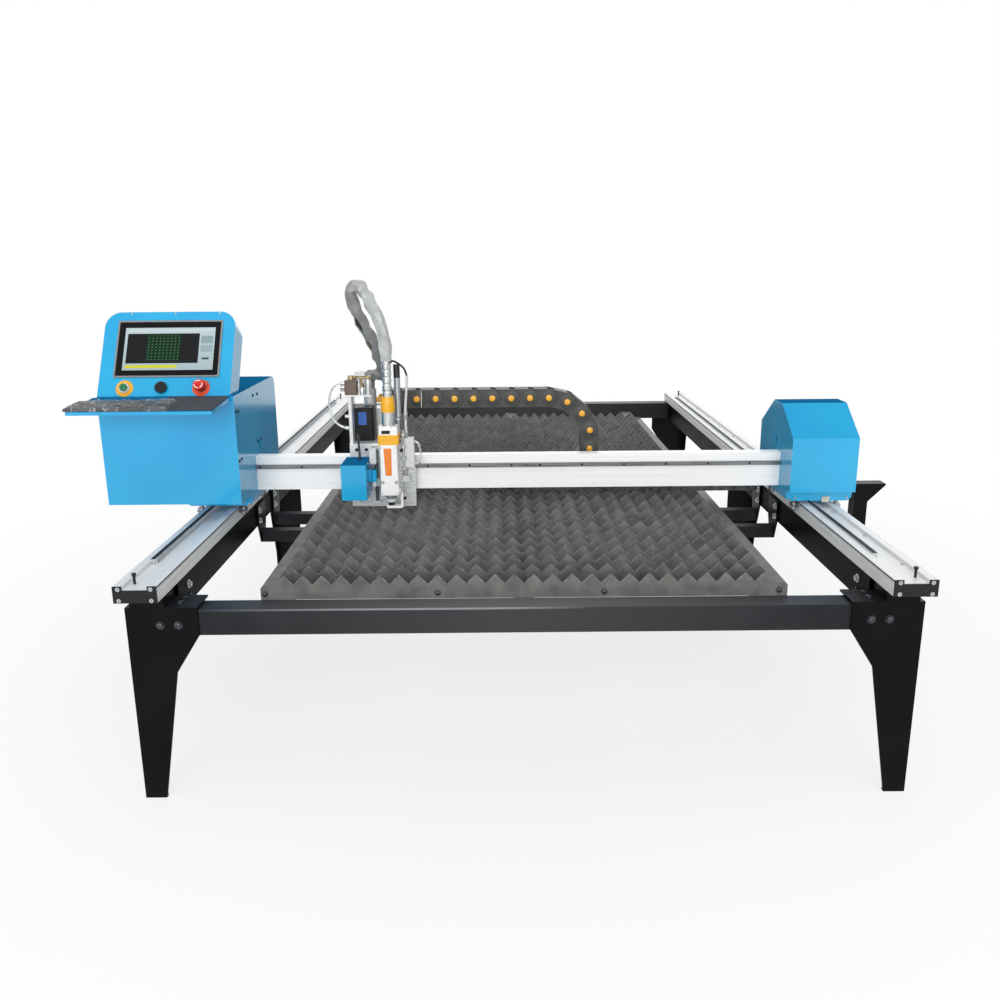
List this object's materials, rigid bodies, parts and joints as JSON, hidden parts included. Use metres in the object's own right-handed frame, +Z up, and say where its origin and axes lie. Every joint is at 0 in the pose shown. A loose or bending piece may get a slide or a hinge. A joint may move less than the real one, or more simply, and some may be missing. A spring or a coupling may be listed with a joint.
{
  "type": "portable gantry cnc cutting machine",
  "caption": "Gantry cutting table: toothed slat bed between two rails, a beam on roller carriages with a control console, and a cutting head on a Z slide fed by a drag chain.",
  "frame": {"origin": "on the floor under the middle of the rails", "axes": "+X along the gantry beam to the right of the operator, +Y along the rails to the rear, +Z up"},
  "size_m": [3.026, 3.805, 1.5514],
  "materials": {
    "frame_black": "semi-gloss black powder coat",
    "rail_aluminium": "clear anodised extrusion",
    "cap_black": "moulded black plastic",
    "rack_steel": "ground steel",
    "bed_steel": "scorched bare steel",
    "beam_white": "pale coated extrusion",
    "cover_blue": "gloss blue paint",
    "roller_steel": "turned steel",
    "motor_black": "black enamel",
    "electronics_grey": "moulded housings",
    "screen_black": "black screen and bezel",
    "tray_blue": "blue paint",
    "keyboard_black": "black plastic",
    "ring_yellow": "yellow legend rings",
    "button_green": "green button",
    "button_black": "black button",
    "stop_red": "red mushroom button",
    "chain_black": "moulded black nylon",
    "trough_grey": "folded aluminium sheet",
    "plate_grey": "machined aluminium",
    "block_steel": "ground steel",
    "head_white": "white coated housing",
    "trim_yellow": "yellow and orange plastic",
    "barrel_steel": "turned steel",
    "nozzle_dark": "dark cone with copper tip",
    "fitting_white": "white plastic fittings",
    "valve_brass": "brown coil and brass body",
    "sleeve_grey": "grey woven sleeve",
    "tube_clear": "clear tube",
    "lead_black": "black cable"
  },
  "bodies": {
    "table": {"front_legs": "frame_black", "middle_legs": "frame_black", "rear_legs": "frame_black", "cross_beams": "frame_black", "frame_brackets": "frame_black", "side_beams": "frame_black", "rails": "rail_aluminium", "rail_end_caps": "cap_black", "racks": "rack_steel", "bed_frame": "frame_black", "bed_slats": "bed_steel"},
    "gantry": {"gantry_beam": "beam_white", "beam_rails": "rack_steel", "carriage_bases": "cover_blue", "carriage_side_plates": "cover_blue", "right_cover": "cover_blue", "control_cabinet": "cover_blue", "cabinet_electronics": "electronics_grey", "console_shell": "cover_blue", "console_panel": "cover_blue", "monitor": "screen_black", "button_rings": "ring_yellow", "keyboard_tray": "tray_blue", "keyboard_and_pad": "keyboard_black", "drive_motors": "motor_black", "cable_arm": "frame_black", "chain_trough": "trough_grey", "chain_lower_run": "chain_black"},
    "left_outer_front_roller": {"left_outer_front_roller": "roller_steel"},
    "left_outer_rear_roller": {"left_outer_rear_roller": "roller_steel"},
    "left_inner_front_roller": {"left_inner_front_roller": "roller_steel"},
    "left_inner_rear_roller": {"left_inner_rear_roller": "roller_steel"},
    "right_inner_front_roller": {"right_inner_front_roller": "roller_steel"},
    "right_inner_rear_roller": {"right_inner_rear_roller": "roller_steel"},
    "right_outer_front_roller": {"right_outer_front_roller": "roller_steel"},
    "right_outer_rear_roller": {"right_outer_rear_roller": "roller_steel"},
    "left_drive_pinion": {"left_drive_pinion": "roller_steel"},
    "right_drive_pinion": {"right_drive_pinion": "roller_steel"},
    "chain_bend": {"chain_bend_links": "chain_black"},
    "start_button": {"start_button": "button_green"},
    "panel_button": {"panel_button": "button_black"},
    "emergency_stop": {"emergency_stop": "stop_red"},
    "head_carriage": {"carriage_plate": "plate_grey", "guide_blocks": "block_steel", "carriage_bracket": "plate_grey", "x_drive_motor": "motor_black", "z_drive_housing": "cover_blue", "gas_valve_block": "valve_brass", "air_tube": "tube_clear", "drive_lead": "lead_black", "chain_upper_run": "chain_black"},
    "x_drive_pinion": {"x_drive_pinion": "roller_steel"},
    "z_screw": {"z_screw": "roller_steel"},
    "z_slide": {"head_plate": "plate_grey", "cutting_head_body": "head_white", "head_trim": "trim_yellow", "collimator_barrel": "barrel_steel", "nozzle": "nozzle_dark", "gas_fittings": "fitting_white", "umbilical_sleeve": "sleeve_grey"}
  },
  "joints": [
    {"name": "gantry_travel", "type": "slide", "parent": "table", "child": "gantry", "axis": [0, 1, 0], "range_m": [-0.79, 2.52]},
    {"name": "head_travel", "type": "slide", "parent": "gantry", "child": "head_carriage", "axis": [1, 0, 0], "range_m": [-0.265, 1.215], "deforming": ["chain_upper_run", "chain_lower_run"]},
    {"name": "z_travel", "type": "slide", "parent": "head_carriage", "child": "z_slide", "axis": [0, 0, 1], "range_m": [-0.015, 0.1], "deforming": ["umbilical_sleeve"]},
    {"name": "chain_roll", "type": "slide", "parent": "gantry", "child": "chain_bend", "axis": [1, 0, 0], "range_m": [-0.1325, 0.6075]},
    {"name": "left_outer_front_roller_spin", "type": "hinge", "parent": "gantry", "child": "left_outer_front_roller", "pos_m": [-1.1993, -1.01, 0.7095], "axis": [0, 0, 1], "continuous": true},
    {"name": "left_outer_rear_roller_spin", "type": "hinge", "parent": "gantry", "child": "left_outer_rear_roller", "pos_m": [-1.1993, -0.72, 0.7095], "axis": [0, 0, 1], "continuous": true},
    {"name": "left_inner_front_roller_spin", "type": "hinge", "parent": "gantry", "child": "left_inner_front_roller", "pos_m": [-1.0407, -1.01, 0.7095], "axis": [0, 0, 1], "continuous": true},
    {"name": "left_inner_rear_roller_spin", "type": "hinge", "parent": "gantry", "child": "left_inner_rear_roller", "pos_m": [-1.0407, -0.72, 0.7095], "axis": [0, 0, 1], "continuous": true},
    {"name": "right_inner_front_roller_spin", "type": "hinge", "parent": "gantry", "child": "right_inner_front_roller", "pos_m": [1.0407, -1.01, 0.7095], "axis": [0, 0, 1], "continuous": true},
    {"name": "right_inner_rear_roller_spin", "type": "hinge", "parent": "gantry", "child": "right_inner_rear_roller", "pos_m": [1.0407, -0.72, 0.7095], "axis": [0, 0, 1], "continuous": true},
    {"name": "right_outer_front_roller_spin", "type": "hinge", "parent": "gantry", "child": "right_outer_front_roller", "pos_m": [1.1993, -1.01, 0.7095], "axis": [0, 0, 1], "continuous": true},
    {"name": "right_outer_rear_roller_spin", "type": "hinge", "parent": "gantry", "child": "right_outer_rear_roller", "pos_m": [1.1993, -0.72, 0.7095], "axis": [0, 0, 1], "continuous": true},
    {"name": "left_drive_pinion_spin", "type": "hinge", "parent": "gantry", "child": "left_drive_pinion", "pos_m": [-1.1205, -0.865, 0.722], "axis": [0, 0, 1], "continuous": true},
    {"name": "right_drive_pinion_spin", "type": "hinge", "parent": "gantry", "child": "right_drive_pinion", "pos_m": [1.1195, -0.865, 0.722], "axis": [0, 0, 1], "continuous": true},
    {"name": "x_drive_pinion_spin", "type": "hinge", "parent": "head_carriage", "child": "x_drive_pinion", "pos_m": [-0.598, -0.8035, 0.877], "axis": [0, 0, 1], "continuous": true},
    {"name": "z_screw_spin", "type": "hinge", "parent": "head_carriage", "child": "z_screw", "pos_m": [-0.534, -1.005, 0.85], "axis": [0, 0, 1], "continuous": true},
    {"name": "start_button_press", "type": "slide", "parent": "gantry", "child": "start_button", "axis": [0, 0.8616, -0.5075], "range_m": [0, 0.004], "stiffness_N_per_m": 400},
    {"name": "panel_button_press", "type": "slide", "parent": "gantry", "child": "panel_button", "axis": [0, 0.8616, -0.5075], "range_m": [0, 0.004], "stiffness_N_per_m": 400},
    {"name": "emergency_stop_press", "type": "slide", "parent": "gantry", "child": "emergency_stop", "axis": [0, 0.8616, -0.5075], "range_m": [0, 0.005], "stiffness_N_per_m": 800}
  ],
  "couplings": [
    {"joint": "chain_roll", "follows": "head_travel", "ratio": 0.5},
    {"joint": "left_outer_front_roller_spin", "follows": "gantry_travel", "rad_per_m": -62.5},
    {"joint": "left_outer_rear_roller_spin", "follows": "gantry_travel", "rad_per_m": -62.5},
    {"joint": "left_inner_front_roller_spin", "follows": "gantry_travel", "rad_per_m": 62.5},
    {"joint": "left_inner_rear_roller_spin", "follows": "gantry_travel", "rad_per_m": 62.5},
    {"joint": "right_inner_front_roller_spin", "follows": "gantry_travel", "rad_per_m": -62.5},
    {"joint": "right_inner_rear_roller_spin", "follows": "gantry_travel", "rad_per_m": -62.5},
    {"joint": "right_outer_front_roller_spin", "follows": "gantry_travel", "rad_per_m": 62.5},
    {"joint": "right_outer_rear_roller_spin", "follows": "gantry_travel", "rad_per_m": 62.5},
    {"joint": "left_drive_pinion_spin", "follows": "gantry_travel", "rad_per_m": 50},
    {"joint": "right_drive_pinion_spin", "follows": "gantry_travel", "rad_per_m": 50},
    {"joint": "x_drive_pinion_spin", "follows": "head_travel", "rad_per_m": -50},
    {"joint": "z_screw_spin", "follows": "z_travel", "rad_per_m": -1256.6}
  ]
}
